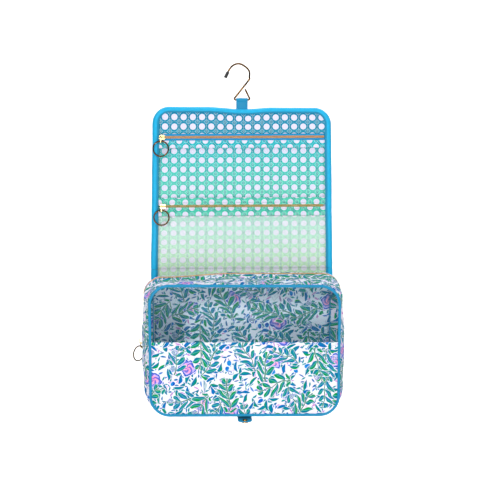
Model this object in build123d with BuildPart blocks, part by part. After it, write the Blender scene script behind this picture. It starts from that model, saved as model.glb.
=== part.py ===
from build123d import *
from math import cos, radians, sin
import os

os.makedirs("parts", exist_ok=True)

# Sizes are in millimetres. The origin is where a rail carries the hook; +Z is up and the bag faces -Y.
# A depth is counted from the hook's plane towards the front of the bag.

# Hook
wire_radius = 1.25
tip_radius = 2.2
cap_length = 9.2
cap_round = 0.8
bar_z = -47.4  # middle of the straight bar that carries the strap
corner_bend = 1.6

# Bag
bag_x = 5.0  # the middle of the bag, beside the top of the hook
panel_width = 243.6
panel_top = -58.0
fold_top = -185.0  # fold between the two pockets
fold_bottom = -281.0  # fold between the panel and the pouch
fold_gap = 0.5
panel_corner = 22.0
binding_width = 8.4
binding_wall = 1.2
clearance = 0.1
strap_room = 0.4  # how much wider a slot is than the strap in it

# Depths of the panel's layers
outer_back = -2.5
outer_front = -1.7
foam_front = 1.6
lining_front = 2.2
face_back = 4.0
face_front = 4.6

# Zippers of the panel
upper_zip_z = -97.5
lower_zip_z = -192.3
zip_length = 225.0
tape_height = 9.0
stop_length = 3.0
row_gap = 1.4
row_height = 1.0
row_back = 3.3
row_front = 5.3

# Slider, link and ring
slider_length = 8.0
slider_height = 6.8
slider_corner = 2.4
plate_thick = 0.9
post_length = 3.0
neck = 1.1
bridge_wire = 0.6
bridge_rise = 3.7  # from the chain's front to the middle of the bridge
bridge_span = 6.6
bridge_bend = 1.0
link_thick = 1.2
link_slot = 3.1
slot_corner = 1.0
link_wall = 0.9
link_drop = 4.7  # from the bridge's leg down to the top of the ring
ring_radius = 10.35
ring_wire = 0.95

# Pouch
pouch_width = 252.6
pouch_height = 177.6
pouch_mid_z = -375.8
pouch_corner = 26.0
pouch_front = 89.0
piping_radius = 2.0
gusset_wall = 1.6
seam_z = -364.2
slot_low = 14.6  # edges of the zipper opening, as depths
slot_high = 21.4
zip_depth = 18.0
tray_back = 1.6
lid_front = 86.8
back_narrower = 3.5  # how much narrower the pouch's back is than its front
back_lower = 5.5
outer_sheet = 1.2  # thickness of the front's printed fabric
lining_sheet = 0.7
window_sheet = 0.5
top_strip_width = 228.0
bottom_strip_width = 190.0
strip_thick = 0.9

# Snap tab and strap
strap_width = 15.8
webbing = 1.2
socket_radius = 3.3
socket_bore = 1.7
socket_thick = 1.5
socket_z = -54.4
tab_width = 19.4
tab_hinge_depth = 50.0
tab_length = 46.0
tab_z = -470.2
tab_slope = 4.5
tab_corner = 5.0
snap_radius = 5.0
snap_inset = 8.0
cap_thick = 1.3
stud_radius = 3.5
stud_base = 0.5
stud_knob = 1.5
stud_height = 0.8


def front(depth, z=0.0):
    """The plane that faces the front at a depth, with its middle on the bag's middle."""
    return Plane(origin=(bag_x, -depth, z), x_dir=(1, 0, 0), z_dir=(0, -1, 0))


def save(part, label):
    part.label = label
    export_step(part, f"parts/{label}.step")


def arch_top(width, low, high, radius):
    """A rectangle with round top corners, drawn in the sketch that is open."""
    with Locations((0, (low + high) / 2)):
        Rectangle(width, high - low)
    fillet(vertices().sort_by(Axis.Y)[-2:], radius)


def strip(width, low, high, back, face):
    """A flat strip across the bag between two heights and two depths."""
    with BuildPart() as made:
        with BuildSketch(front(back, (low + high) / 2)):
            Rectangle(width, high - low)
        extrude(amount=face - back)
    return made.part


# The hook: a wire bent into an arch, a slope, a bar for the strap and a free end
slope_top = (12.4, -23.3)
bar_left = (-6.9, bar_z)
bar_right = (16.3, bar_z)
free_end = (9.2, -32.8)
slope_way = (Vector(*bar_left) - Vector(*slope_top)).normalized()
with BuildPart() as hook_wire:
    with BuildLine(Plane.XZ) as hook_line:
        arch = Spline(
            (-13.6, -9.4),
            (-8.6, -2.2),
            (0, wire_radius),
            (9.9, -3.0),
            (15.2, -10.6),
            (15.1, -17.4),
            slope_top,
            tangents=[(0.45, 0.89), (slope_way.X, slope_way.Y)],
        )
        Polyline(slope_top, bar_left, bar_right, free_end)
        fillet(hook_line.vertices().sort_by(Axis.Z)[:2], corner_bend)
    with BuildSketch(Plane(origin=arch @ 0, z_dir=arch % 0)):
        Circle(wire_radius)
    sweep()
save(hook_wire.part, "hook_wire")

# The soft cap pushed over the hook's end
tip_way = -(arch % 0)
with BuildPart() as hook_tip_cap:
    with BuildSketch(Plane(origin=arch @ 0 + tip_way * clearance, z_dir=tip_way)):
        Circle(tip_radius)
    extrude(amount=cap_length)
    fillet(hook_tip_cap.edges().filter_by(GeomType.CIRCLE), cap_round)
save(hook_tip_cap.part, "hook_tip_cap")

# The strap: webbing folded round the bar and sewn between the panel's layers
loop_radius = wire_radius + clearance
strap_foot = panel_top - 12.0
strap_end = Plane(
    origin=(bag_x - strap_width / 2, 0, bar_z), x_dir=(0, 1, 0), z_dir=(1, 0, 0)
)
with BuildPart() as hanger_strap:
    with BuildSketch(strap_end):
        Circle(loop_radius + webbing)
        with Locations((0, (strap_foot - bar_z) / 2)):
            Rectangle(2 * (webbing + 2 * clearance), bar_z - strap_foot)
        Circle(loop_radius, mode=Mode.SUBTRACT)
    extrude(amount=strap_width)
save(hanger_strap.part, "hanger_strap")

# The socket of the snap, on the strap's outer side
strap_back = webbing + 3 * clearance
with BuildPart() as snap_socket:
    with BuildSketch(Plane(origin=(bag_x, strap_back, socket_z), z_dir=(0, 1, 0))):
        Circle(socket_radius)
    extrude(amount=socket_thick)
    with BuildSketch(snap_socket.faces().sort_by(Axis.Y)[-1]):
        Circle(socket_bore)
    extrude(amount=-socket_thick * 2 / 3, mode=Mode.SUBTRACT)
save(snap_socket.part, "snap_socket")

# The panel's upper part, from the strap to the fold between the pockets
inner_half = panel_width / 2 - binding_wall - clearance
upper_low = fold_top + fold_gap
inner_top = panel_top - binding_wall - clearance
inner_corner = panel_corner - binding_wall


def upper_layer(back, face, label, strap_slot):
    """A sheet of the upper part, cut back where the strap is sewn in."""
    with BuildPart() as made:
        with BuildSketch(front(back)):
            arch_top(2 * inner_half, upper_low, inner_top, inner_corner)
        extrude(amount=face - back)
        if strap_slot:
            with BuildSketch(front(back, inner_top)):
                Rectangle(strap_width + strap_room, 2 * (inner_top - strap_foot) + strap_room)
            extrude(amount=face - back, mode=Mode.SUBTRACT)
    save(made.part, label)


upper_layer(outer_back, outer_front, "upper_outer_fabric", False)
upper_layer(outer_front + clearance, foam_front, "upper_foam_pad", True)
upper_layer(foam_front + clearance, lining_front, "upper_cane_lining", False)

# The binding folded over the upper part's edge on three sides
binding_back = outer_back - binding_wall - clearance
binding_front = face_front + binding_wall + clearance
with BuildPart() as upper_edge_binding:
    with BuildSketch(front(binding_back)):
        arch_top(panel_width, upper_low, panel_top, panel_corner)
    extrude(amount=binding_front - binding_back)
    with BuildSketch(front(binding_back)):
        arch_top(
            panel_width - 2 * binding_width,
            upper_low,
            panel_top - binding_width,
            panel_corner - binding_width,
        )
    extrude(amount=binding_front - binding_back, mode=Mode.SUBTRACT)
    with BuildSketch(front(outer_back - clearance)):
        arch_top(
            panel_width - 2 * binding_wall,
            upper_low,
            panel_top - binding_wall,
            inner_corner,
        )
    extrude(amount=face_front - outer_back + 2 * clearance, mode=Mode.SUBTRACT)
    with BuildSketch(front(-strap_back, panel_top)):
        Rectangle(strap_width + strap_room, 4 * binding_wall)
    extrude(amount=2 * strap_back, mode=Mode.SUBTRACT)
save(upper_edge_binding.part, "upper_edge_binding")

# The face above the upper zipper
tape_half = tape_height / 2
with BuildPart() as upper_header:
    with BuildSketch(front(face_back)):
        arch_top(2 * inner_half, upper_zip_z + tape_half, inner_top, inner_corner)
    extrude(amount=face_front - face_back)
save(upper_header.part, "upper_header")


def zipper_tape(z, label):
    """A tape whose two halves are joined beyond the end stops, with the chain between them."""
    with BuildPart() as made:
        with BuildSketch(front(face_back, z)):
            Rectangle(2 * inner_half, tape_height - 2 * clearance)
            Rectangle(
                zip_length + 2 * clearance,
                row_gap + 2 * (row_height + clearance),
                mode=Mode.SUBTRACT,
            )
        extrude(amount=face_front - face_back)
    save(made.part, label)


zipper_tape(upper_zip_z, "upper_zipper_tape")

# Pocket windows and the printed strips round them
pocket_sheet = 0.4
upper_trim_low = -112.5
upper_vinyl_low = -180.6
lower_trim_low = -206.2
upper_trim = strip(
    2 * inner_half, upper_trim_low + clearance, upper_zip_z - tape_half, face_back, face_front
)
save(upper_trim, "upper_trim_strip")
upper_vinyl = strip(
    2 * inner_half, upper_vinyl_low, upper_trim_low, face_back, face_back + pocket_sheet
)
save(upper_vinyl, "upper_pocket_vinyl")
fold_trim = strip(
    2 * inner_half, upper_low, upper_vinyl_low - clearance, face_back, face_front
)
save(fold_trim, "fold_trim_strip")

# The panel's lower part, from the fold between the pockets to the pouch
lower_top = fold_top - fold_gap
lower_low = fold_bottom + fold_gap
lower_layers = {
    "lower_outer_fabric": (outer_back, outer_front),
    "lower_foam_pad": (outer_front + clearance, foam_front),
    "lower_cane_lining": (foam_front + clearance, lining_front),
}
for label, (back, face) in lower_layers.items():
    save(strip(2 * inner_half, lower_low, lower_top, back, face), label)


def side_binding(side, label):
    """The binding folded over one side of the lower part."""
    with BuildPart() as made:
        middle = panel_width / 2 - binding_width / 2
        with BuildSketch(front(binding_back, (lower_low + lower_top) / 2)):
            with Locations((side * middle, 0)):
                Rectangle(binding_width, lower_top - lower_low)
        extrude(amount=binding_front - binding_back)
        with BuildSketch(front(outer_back - clearance, (lower_low + lower_top) / 2)):
            Rectangle(panel_width - 2 * binding_wall, lower_top - lower_low)
        extrude(amount=face_front - outer_back + 2 * clearance, mode=Mode.SUBTRACT)
    save(made.part, label)


side_binding(-1, "lower_binding_left")
side_binding(1, "lower_binding_right")

zipper_tape(lower_zip_z, "lower_zipper_tape")
lower_head = strip(
    2 * inner_half, lower_zip_z + tape_half, lower_top, face_back, face_front
)
save(lower_head, "lower_head_strip")
lower_trim = strip(
    2 * inner_half, lower_trim_low + clearance, lower_zip_z - tape_half, face_back, face_front
)
save(lower_trim, "lower_trim_strip")
lower_vinyl = strip(
    2 * inner_half, lower_low, lower_trim_low, face_back, face_back + pocket_sheet
)
save(lower_vinyl, "lower_pocket_vinyl")


def zipper_teeth(z, label):
    """Both rows of teeth as one chain, joined by the end stops."""
    with BuildPart() as made:
        with BuildSketch(front(row_back, z)):
            Rectangle(zip_length, row_gap + 2 * row_height)
            Rectangle(zip_length - 2 * stop_length, row_gap, mode=Mode.SUBTRACT)
        extrude(amount=row_front - row_back)
    save(made.part, label)


zipper_teeth(upper_zip_z, "upper_zipper_teeth")
zipper_teeth(lower_zip_z, "lower_zipper_teeth")

# Slider, link and ring of the panel's zippers. The slider starts at the left end.
slider_x = -108.9
bridge_depth = row_front + bridge_rise
link_play = 1.0  # free length in the link's slot
link_side = 1.9  # how far the link hangs to the left of the slider's middle


def link_at(place, across, down):
    """A flat loop whose slot holds the bridge at its top and the ring at its foot."""
    slot_long = link_drop + bridge_wire + ring_wire + link_play
    middle = place + down * (slot_long / 2 - bridge_wire - clearance)
    plane = Plane(origin=middle - across * (link_thick / 2), x_dir=down, z_dir=across)
    with BuildPart() as made:
        with BuildSketch(plane):
            RectangleRounded(
                slot_long + 2 * link_wall, link_slot + 2 * link_wall, slot_corner + link_wall
            )
            RectangleRounded(slot_long, link_slot, slot_corner, mode=Mode.SUBTRACT)
        extrude(amount=link_thick)
    return made.part


def ring_at(top, across, down):
    """A round ring whose wire runs along the across direction at its top."""
    centre = top + down * ring_radius
    with BuildPart() as made:
        with BuildSketch(Plane(origin=top, x_dir=down, z_dir=across)):
            Circle(ring_wire)
        revolve(axis=Axis(centre, across.cross(down)), revolution_arc=360)
    return made.part


def panel_zip(z, name):
    """The slider, its link and its ring on a zipper of the panel."""
    with BuildPart() as slider:
        for back in (row_back - clearance - plate_thick, row_front + clearance):
            with BuildSketch(front(back, z)):
                with Locations((slider_x, 0)):
                    RectangleRounded(slider_length, slider_height, slider_corner)
            extrude(amount=plate_thick)
        with BuildSketch(front(row_back - clearance, z)):
            with Locations((slider_x + post_length / 2, 0)):
                Rectangle(post_length, neck)
        extrude(amount=row_front - row_back + 2 * clearance)
        plate_front = row_front + clearance + plate_thick / 2
        foot = Vector(bag_x + slider_x - bridge_span / 2, -plate_front, z)
        rise = Vector(0, plate_front - bridge_depth, 0)
        span = Vector(bridge_span, 0, 0)
        with BuildLine() as bridge:
            Polyline(foot, foot + rise, foot + rise + span, foot + span)
            fillet(bridge.vertices().sort_by(Axis.Y)[:2], bridge_bend)
        with BuildSketch(Plane(origin=foot, z_dir=(0, -1, 0))):
            Circle(bridge_wire)
        sweep(path=bridge.wires()[0])
    save(slider.part, f"{name}_zip_slider")
    across = Vector(1, 0, 0)
    down = Vector(0, 0, -1)
    place = Vector(bag_x + slider_x - link_side, -bridge_depth, z)
    save(link_at(place, across, down), f"{name}_pull_link")
    save(ring_at(place + down * link_drop, across, down), f"{name}_pull_ring")


panel_zip(upper_zip_z, "upper")
panel_zip(lower_zip_z, "lower")


# The pouch: its walls are rounded rectangles that change size with depth
def band(sections, label):
    """A ruled wall through (depth, half width, half height) sections, open at both ends."""
    with BuildPart() as made:
        for inset, mode in ((0.0, Mode.ADD), (gusset_wall, Mode.SUBTRACT)):
            for depth, half_width, half_height in sections:
                with BuildSketch(front(depth, pouch_mid_z)):
                    RectangleRounded(
                        2 * (half_width - inset),
                        2 * (half_height - inset),
                        pouch_corner - inset,
                    )
            loft(ruled=True, mode=mode)
    save(made.part, label)


slot_half_width = 136.0
slot_half_height = 91.5
straight_run = 3.5  # of the wall beside the zipper opening
tray_sections = [
    (tray_back, 129.1, 88.2),
    (slot_low - straight_run, slot_half_width, slot_half_height),
    (slot_low, slot_half_width, slot_half_height),
]
lid_sections = [
    (slot_high, slot_half_width, slot_half_height),
    (45.0, 137.8, 92.8),
    (70.0, 134.1, 92.1),
    (lid_front, 125.7, 88.2),
]
band(tray_sections, "tray_gusset")
band(lid_sections, "lid_gusset")


def piping(depth, width, height, corner, label):
    """A covered cord round the pouch's edge."""
    with BuildPart() as made:
        with BuildSketch(front(depth - piping_radius, pouch_mid_z)) as edge:
            RectangleRounded(width, height, corner)
        back_wire = edge.sketch.faces()[0].outer_wire()
        outline = back_wire.moved(Location((0, -piping_radius, 0)))
        made.pending_faces.clear()
        with BuildSketch(Plane(origin=outline @ 0, z_dir=outline % 0)):
            Circle(piping_radius)
        sweep(path=outline, transition=Transition.ROUND)
    save(made.part, label)


back_width = pouch_width - back_narrower
back_height = pouch_height - back_lower
back_corner = pouch_corner - piping_radius
back_middle = -0.4
piping(pouch_front, pouch_width, pouch_height, pouch_corner, "front_piping")
piping(back_middle, back_width, back_height, back_corner, "back_piping")

# Layers of the pouch's back
edge = 2 * (piping_radius + clearance)
back_layers = {
    "back_outer_fabric": (-2.5, -1.5),
    "back_board": (-1.4, 0.2),
    "back_lining": (0.3, 0.9),
}
for label, (back, face) in back_layers.items():
    with BuildPart() as back_layer:
        with BuildSketch(front(back, pouch_mid_z)):
            RectangleRounded(back_width - edge, back_height - edge, back_corner - edge / 2)
        extrude(amount=face - back)
    save(back_layer.part, label)

# The front: printed fabric and its lining below, a clear window above, a tape over the seam
front_half_width = pouch_width / 2 - piping_radius - clearance
front_half_height = pouch_height / 2 - piping_radius - clearance
front_top = pouch_mid_z + front_half_height
front_low = pouch_mid_z - front_half_height
front_corner = pouch_corner - piping_radius - clearance


def front_sheet(low, high, back, face, label):
    """A sheet of the pouch's front between two heights, with the pouch's round corners."""
    with BuildPart() as made:
        with BuildSketch(front(back, pouch_mid_z)):
            RectangleRounded(2 * front_half_width, 2 * front_half_height, front_corner)
        extrude(amount=face - back)
        with BuildSketch(front(back, (low + high) / 2)):
            Rectangle(pouch_width, high - low)
        extrude(amount=face - back, mode=Mode.INTERSECT)
    save(made.part, label)


print_back = 88.2
print_front = print_back + outer_sheet
lining_face = print_back - clearance
window_back = print_back + 2 * clearance
window_face = window_back + window_sheet
front_sheet(front_low, seam_z, print_back, print_front, "front_print_fabric")
front_sheet(front_low, seam_z, lining_face - lining_sheet, lining_face, "front_lining")
front_sheet(seam_z + 2 * clearance, front_top, window_back, window_face, "window_vinyl")
tape_back = print_front + clearance
tape_reach = 3.0
seam_tape = strip(
    2 * (front_half_width - 1),
    seam_z - tape_reach,
    seam_z + tape_reach,
    tape_back,
    tape_back + lining_sheet,
)
save(seam_tape, "window_seam_tape")


def zip_band(low, high, inner, outer, label):
    """A band of the pouch's zipper between two depths, round all sides but the bottom."""
    with BuildPart() as made:
        for away, mode in ((outer, Mode.ADD), (inner, Mode.SUBTRACT)):
            with BuildSketch(front(low, pouch_mid_z)):
                RectangleRounded(
                    2 * away,
                    2 * (away - slot_half_width + slot_half_height),
                    pouch_corner - slot_half_width + away,
                )
            extrude(amount=high - low, mode=mode)
        with BuildSketch(front(low, pouch_mid_z - slot_half_height)):
            Rectangle(2 * slot_half_width, 2 * pouch_corner)
        extrude(amount=high - low, mode=Mode.SUBTRACT)
    save(made.part, label)


tape_outer = slot_half_width - gusset_wall - clearance
tape_inner = tape_outer - 0.6
teeth_stand = 0.7  # how far the teeth stand out of the tape on each side
teeth_outer = tape_outer + teeth_stand
teeth_inner = tape_inner - teeth_stand
row_width = 0.9
tray_row = zip_depth - row_gap / 2
tray_edge = tray_row - row_width
lid_row = zip_depth + row_gap / 2
lid_edge = lid_row + row_width
tape_low = slot_low - tape_reach
tape_high = slot_high + tape_reach
zip_band(tape_low, tray_edge - clearance, tape_inner, tape_outer, "tray_zipper_tape")
zip_band(tray_edge, tray_row, teeth_inner, teeth_outer, "tray_zipper_teeth")
zip_band(lid_edge + clearance, tape_high, tape_inner, tape_outer, "lid_zipper_tape")
zip_band(lid_row, lid_edge, teeth_inner, teeth_outer, "lid_zipper_teeth")

# The hinge strip along the bottom, where there is no zipper
strip_z = pouch_mid_z - slot_half_height - teeth_stand
strip_back = tray_back + tape_reach
with BuildPart() as bottom_hinge_strip:
    with BuildSketch(front(strip_back, strip_z)):
        Rectangle(bottom_strip_width, strip_thick)
    extrude(amount=zip_depth - strip_back - 4 * clearance)
save(bottom_hinge_strip.part, "bottom_hinge_strip")

# The strip that joins the panel to the top of the pouch's back
strip_low = pouch_mid_z + back_height / 2 + piping_radius + clearance
top_strip = strip(top_strip_width, strip_low, fold_bottom - fold_gap, -2.0, -2.0 + webbing)
save(top_strip, "top_hinge_strip")

# The slider on the pouch's left side, with its bridge turned along the zipper
side_slider_z = -378.6
plate_out = teeth_outer + clearance
side_length = 9.0
side_width = 6.2
side_rise = 6.8
with BuildPart() as side_zip_slider:
    for low in (plate_out, teeth_inner - clearance - plate_thick):
        plane = Plane(
            origin=(bag_x - low, -zip_depth, side_slider_z), x_dir=(0, 0, 1), z_dir=(-1, 0, 0)
        )
        with BuildSketch(plane):
            RectangleRounded(side_length, side_width, slider_corner)
        extrude(amount=plate_thick)
    inside = Plane(
        origin=(bag_x - teeth_inner + clearance, -zip_depth, side_slider_z + post_length / 2),
        x_dir=(0, 0, 1),
        z_dir=(-1, 0, 0),
    )
    with BuildSketch(inside):
        Rectangle(post_length, neck)
    extrude(amount=teeth_outer - teeth_inner + 2 * clearance)
    foot = Vector(
        bag_x - plate_out - plate_thick / 2, -zip_depth, side_slider_z - bridge_span / 2
    )
    rise = Vector(-side_rise, 0, 0)
    span = Vector(0, 0, bridge_span)
    with BuildLine() as side_bridge:
        Polyline(foot, foot + rise, foot + rise + span, foot + span)
        fillet(side_bridge.vertices().sort_by(Axis.X)[:2], bridge_bend)
    with BuildSketch(Plane(origin=foot, z_dir=(-1, 0, 0))):
        Circle(bridge_wire)
    sweep(path=side_bridge.wires()[0])
save(side_zip_slider.part, "side_zip_slider")

# Its link hangs on the bridge's lower leg, turned sideways, and the ring leans outwards
side_turn = 48.0
side_lean = 37.0
side_across = Vector(-cos(radians(side_turn)), -sin(radians(side_turn)), 0)
leg_rise = 3.7
leg_x = bag_x - plate_out - plate_thick - leg_rise
side_place = Vector(leg_x, -zip_depth, side_slider_z - bridge_span / 2)
side_down = Vector(0, 0, -1)
save(link_at(side_place, side_across, side_down), "side_pull_link")
ring_down = side_across * sin(radians(side_lean)) + side_down * cos(radians(side_lean))
ring_across = side_across * cos(radians(side_lean)) - side_down * sin(radians(side_lean))
save(ring_at(side_place + side_down * link_drop, ring_across, ring_down), "side_pull_ring")

# The snap tab under the pouch
tab_way = Vector(0, -cos(radians(tab_slope)), -sin(radians(tab_slope)))
tab_plane = Plane(origin=(bag_x, -tab_hinge_depth, tab_z), x_dir=(1, 0, 0), z_dir=tab_way)
with BuildPart() as snap_tab_webbing:
    with BuildSketch(tab_plane):
        Rectangle(tab_width, webbing)
    extrude(amount=tab_length)
    upright = snap_tab_webbing.edges().filter_by(Axis.Z, tolerance=2 * tab_slope)
    fillet(upright.sort_by(Axis.Y)[:2], tab_corner)
save(snap_tab_webbing.part, "snap_tab_webbing")

snap_place = tab_plane.origin + tab_way * (tab_length - snap_inset)
tab_under = Vector(0, sin(radians(tab_slope)), -cos(radians(tab_slope)))
tab_face = tab_under * (webbing / 2 + clearance)
with BuildPart() as snap_cap:
    with BuildSketch(Plane(origin=snap_place + tab_face, z_dir=tab_under)):
        Circle(snap_radius)
    extrude(amount=cap_thick)
    fillet(snap_cap.faces().sort_by(Axis.Z)[0].edges(), cap_thick / 2)
save(snap_cap.part, "snap_cap")
with BuildPart() as snap_stud:
    with BuildSketch(Plane(origin=snap_place - tab_face, z_dir=-tab_under)):
        Circle(stud_radius)
    extrude(amount=stud_base)
    with BuildSketch(snap_stud.faces().sort_by(Axis.Z)[-1]):
        Circle(stud_knob)
    extrude(amount=stud_height)
save(snap_stud.part, "snap_stud")
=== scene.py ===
import math

import bmesh
import bpy
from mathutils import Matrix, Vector, noise


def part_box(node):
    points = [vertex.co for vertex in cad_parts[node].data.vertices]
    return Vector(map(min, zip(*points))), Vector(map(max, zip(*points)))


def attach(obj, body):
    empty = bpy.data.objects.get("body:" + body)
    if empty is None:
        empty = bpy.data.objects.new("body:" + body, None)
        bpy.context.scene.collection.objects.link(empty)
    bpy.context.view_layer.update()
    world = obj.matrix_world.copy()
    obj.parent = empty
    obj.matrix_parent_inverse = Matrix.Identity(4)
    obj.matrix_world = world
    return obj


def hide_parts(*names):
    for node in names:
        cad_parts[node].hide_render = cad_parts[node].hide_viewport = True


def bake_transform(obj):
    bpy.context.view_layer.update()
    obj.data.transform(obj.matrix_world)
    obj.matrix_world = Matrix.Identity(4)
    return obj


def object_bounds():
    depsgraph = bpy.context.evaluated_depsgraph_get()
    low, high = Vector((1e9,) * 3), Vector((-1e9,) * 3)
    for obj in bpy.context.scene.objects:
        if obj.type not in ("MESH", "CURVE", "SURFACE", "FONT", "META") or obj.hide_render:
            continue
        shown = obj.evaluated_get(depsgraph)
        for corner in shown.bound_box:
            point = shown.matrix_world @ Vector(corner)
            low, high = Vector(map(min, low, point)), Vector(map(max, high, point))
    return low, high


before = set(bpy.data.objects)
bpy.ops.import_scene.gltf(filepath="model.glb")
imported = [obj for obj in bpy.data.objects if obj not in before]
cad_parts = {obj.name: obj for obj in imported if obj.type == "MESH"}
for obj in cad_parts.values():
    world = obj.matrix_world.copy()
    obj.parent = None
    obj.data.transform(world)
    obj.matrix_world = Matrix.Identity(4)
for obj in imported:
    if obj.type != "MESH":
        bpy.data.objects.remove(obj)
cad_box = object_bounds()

# Lengths are in metres. +Z is up, the bag faces -Y, and a depth is counted from the hook towards the front.
MM = 0.001
scene = bpy.context.scene
scene.view_settings.view_transform = "Standard"


# ---------------------------------------------------------------- sizes, read from the frame
X, Y, Z = 0, 1, 2


def depth_range(node):
    """How far back and how far forward a node reaches, as depths."""
    low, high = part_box(node)
    return -high.y, -low.y


def height_range(node):
    low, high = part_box(node)
    return low.z, high.z


def half_size(node, axis):
    low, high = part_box(node)
    return (high[axis] - low[axis]) / 2


def middle_of(node, axis):
    low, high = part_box(node)
    return (low[axis] + high[axis]) / 2


bag_x = middle_of("upper_edge_binding", X)
panel_half = half_size("upper_edge_binding", X)
upper_low, panel_top = height_range("upper_edge_binding")
panel_low, lower_top = height_range("lower_binding_left")
fold_z = (upper_low + lower_top) / 2
binding_width = 2 * half_size("lower_binding_left", X)
inner_half = half_size("upper_header", X)
edge_width = panel_half - inner_half
face_back, face_front = depth_range("upper_header")
outer_back, outer_front = depth_range("upper_outer_fabric")
foam_back, foam_front = depth_range("upper_foam_pad")
lining_back, lining_front = depth_range("upper_cane_lining")
upper_zip_z = middle_of("upper_zipper_teeth", Z)
lower_zip_z = middle_of("lower_zipper_teeth", Z)
zip_half = half_size("upper_zipper_teeth", X)
chain_back, chain_front = depth_range("upper_zipper_teeth")
panel_corner = 22 * MM

pouch_z = middle_of("front_piping", Z)
pipe_radius = half_size("front_piping", Y)
pipe_depth = -middle_of("front_piping", Y)
pouch_half_width = half_size("front_piping", X) - pipe_radius
pouch_half_height = half_size("front_piping", Z) - pipe_radius
back_depth = -middle_of("back_piping", Y)
back_half_width = half_size("back_piping", X) - pipe_radius
back_half_height = half_size("back_piping", Z) - pipe_radius
slot_back = depth_range("tray_gusset")[1]
slot_front = depth_range("lid_gusset")[0]
zip_depth = (slot_back + slot_front) / 2
slot_half_width = half_size("tray_gusset", X)
slot_half_height = half_size("tray_gusset", Z)
seam = height_range("front_print_fabric")[1] - pouch_z
pouch_corner = 26 * MM


# ---------------------------------------------------------------- materials
class Number:
    """A number at each point of a surface, worked out by Math nodes."""

    def __init__(self, tree, socket):
        self.tree = tree
        self.socket = socket

    def do(self, operation, *others):
        node = self.tree.nodes.new("ShaderNodeMath")
        node.operation = operation
        for socket, value in zip(node.inputs, (self, *others)):
            connect(self.tree, value, socket)
        return Number(self.tree, node.outputs[0])

    def __add__(self, other):
        return self.do("ADD", other)

    def __sub__(self, other):
        return self.do("SUBTRACT", other)

    def __mul__(self, other):
        return self.do("MULTIPLY", other)

    def __truediv__(self, other):
        return self.do("DIVIDE", other)

    def __neg__(self):
        return self * -1.0

    def __abs__(self):
        return self.do("ABSOLUTE")

    def near(self, limit, blur):
        """1 where the number is below the limit, falling to 0 over the blur."""
        node = self.tree.nodes.new("ShaderNodeMapRange")
        node.interpolation_type = "SMOOTHSTEP"
        connect(self.tree, self, node.inputs["Value"])
        connect(self.tree, limit, node.inputs["From Min"])
        connect(self.tree, limit + blur, node.inputs["From Max"])
        node.inputs["To Min"].default_value = 1.0
        node.inputs["To Max"].default_value = 0.0
        return Number(self.tree, node.outputs["Result"])


def connect(tree, value, socket):
    """Gives a socket a number, a colour or a link."""
    if isinstance(value, Number):
        tree.links.new(value.socket, socket)
    elif isinstance(value, bpy.types.NodeSocket):
        tree.links.new(value, socket)
    elif isinstance(value, tuple) and socket.type == "RGBA":
        socket.default_value = (*value, 1.0)
    else:
        socket.default_value = value


class Paint:
    """A material under construction."""

    def __init__(self, name, **settings):
        self.material = bpy.data.materials.new(name)
        self.material.use_nodes = True
        self.tree = self.material.node_tree
        self.shader = self.tree.nodes["Principled BSDF"]
        for key, value in settings.items():
            connect(self.tree, value, self.shader.inputs[key.replace("_", " ").title().replace("Ior", "IOR")])

    def node(self, kind, **inputs):
        made = self.tree.nodes.new("ShaderNode" + kind)
        for key, value in inputs.items():
            connect(self.tree, value, made.inputs[key.replace("_", " ").title()])
        return made

    def parts(self, vector):
        made = self.node("SeparateXYZ", vector=vector)
        return Number(self.tree, made.outputs["X"]), Number(self.tree, made.outputs["Y"])

    def print_place(self):
        """The two coordinates of the print, in metres along the cloth."""
        return self.parts(self.node("TexCoord").outputs["UV"])

    def vector(self, x, y):
        return self.node("CombineXYZ", x=x, y=y).outputs["Vector"]

    def noise(self, vector, scale, detail=2.0, seed=0.0):
        node = self.node("TexNoise", vector=vector, scale=scale, detail=detail)
        if seed:
            node.noise_dimensions = "4D"
            node.inputs["W"].default_value = seed
        return Number(self.tree, node.outputs["Fac"])

    def speckle(self, scale, detail):
        """Noise through a piece without a print."""
        return self.noise(self.node("TexCoord").outputs["Object"], scale, detail)

    def mix(self, share, first, second):
        node = self.node("Mix")
        node.data_type = "RGBA"
        for index, value in ((0, share), (6, first), (7, second)):
            connect(self.tree, value, node.inputs[index])
        return node.outputs[2]

    def done(self, colour=None, roughness=None, relief=None, strength=0.25, distance=0.05 * MM):
        """The material, with its colour, roughness and relief in place."""
        if colour:
            connect(self.tree, colour, self.shader.inputs["Base Color"])
        if roughness:
            connect(self.tree, roughness, self.shader.inputs["Roughness"])
        if relief:
            bump = self.node("Bump", height=relief, strength=strength, distance=distance)
            connect(self.tree, bump.outputs["Normal"], self.shader.inputs["Normal"])
        return self.material


def rgb(red, green, blue):
    """A screen colour from 0 to 255 as the linear colour that shaders take."""
    return tuple((channel / 255) ** 2.2 for channel in (red, green, blue))


def dimmed(colour, share):
    return tuple(channel * share for channel in colour)


def length(x, y):
    return (x * x + y * y).do("SQRT")


def turned(x, y, angle):
    """The coordinates in a frame turned by an angle, which is a number or a Number."""
    if isinstance(angle, Number):
        cosine, sine = angle.do("COSINE"), angle.do("SINE")
    else:
        cosine, sine = math.cos(angle), math.sin(angle)
    return x * cosine + y * sine, y * cosine - x * sine


WEAVE = 0.55 * MM


def weave_height(x, y, thread=WEAVE):
    """The relief of a plain weave."""
    return (x * (math.pi / thread)).do("SINE") * (y * (math.pi / thread)).do("SINE")


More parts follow.
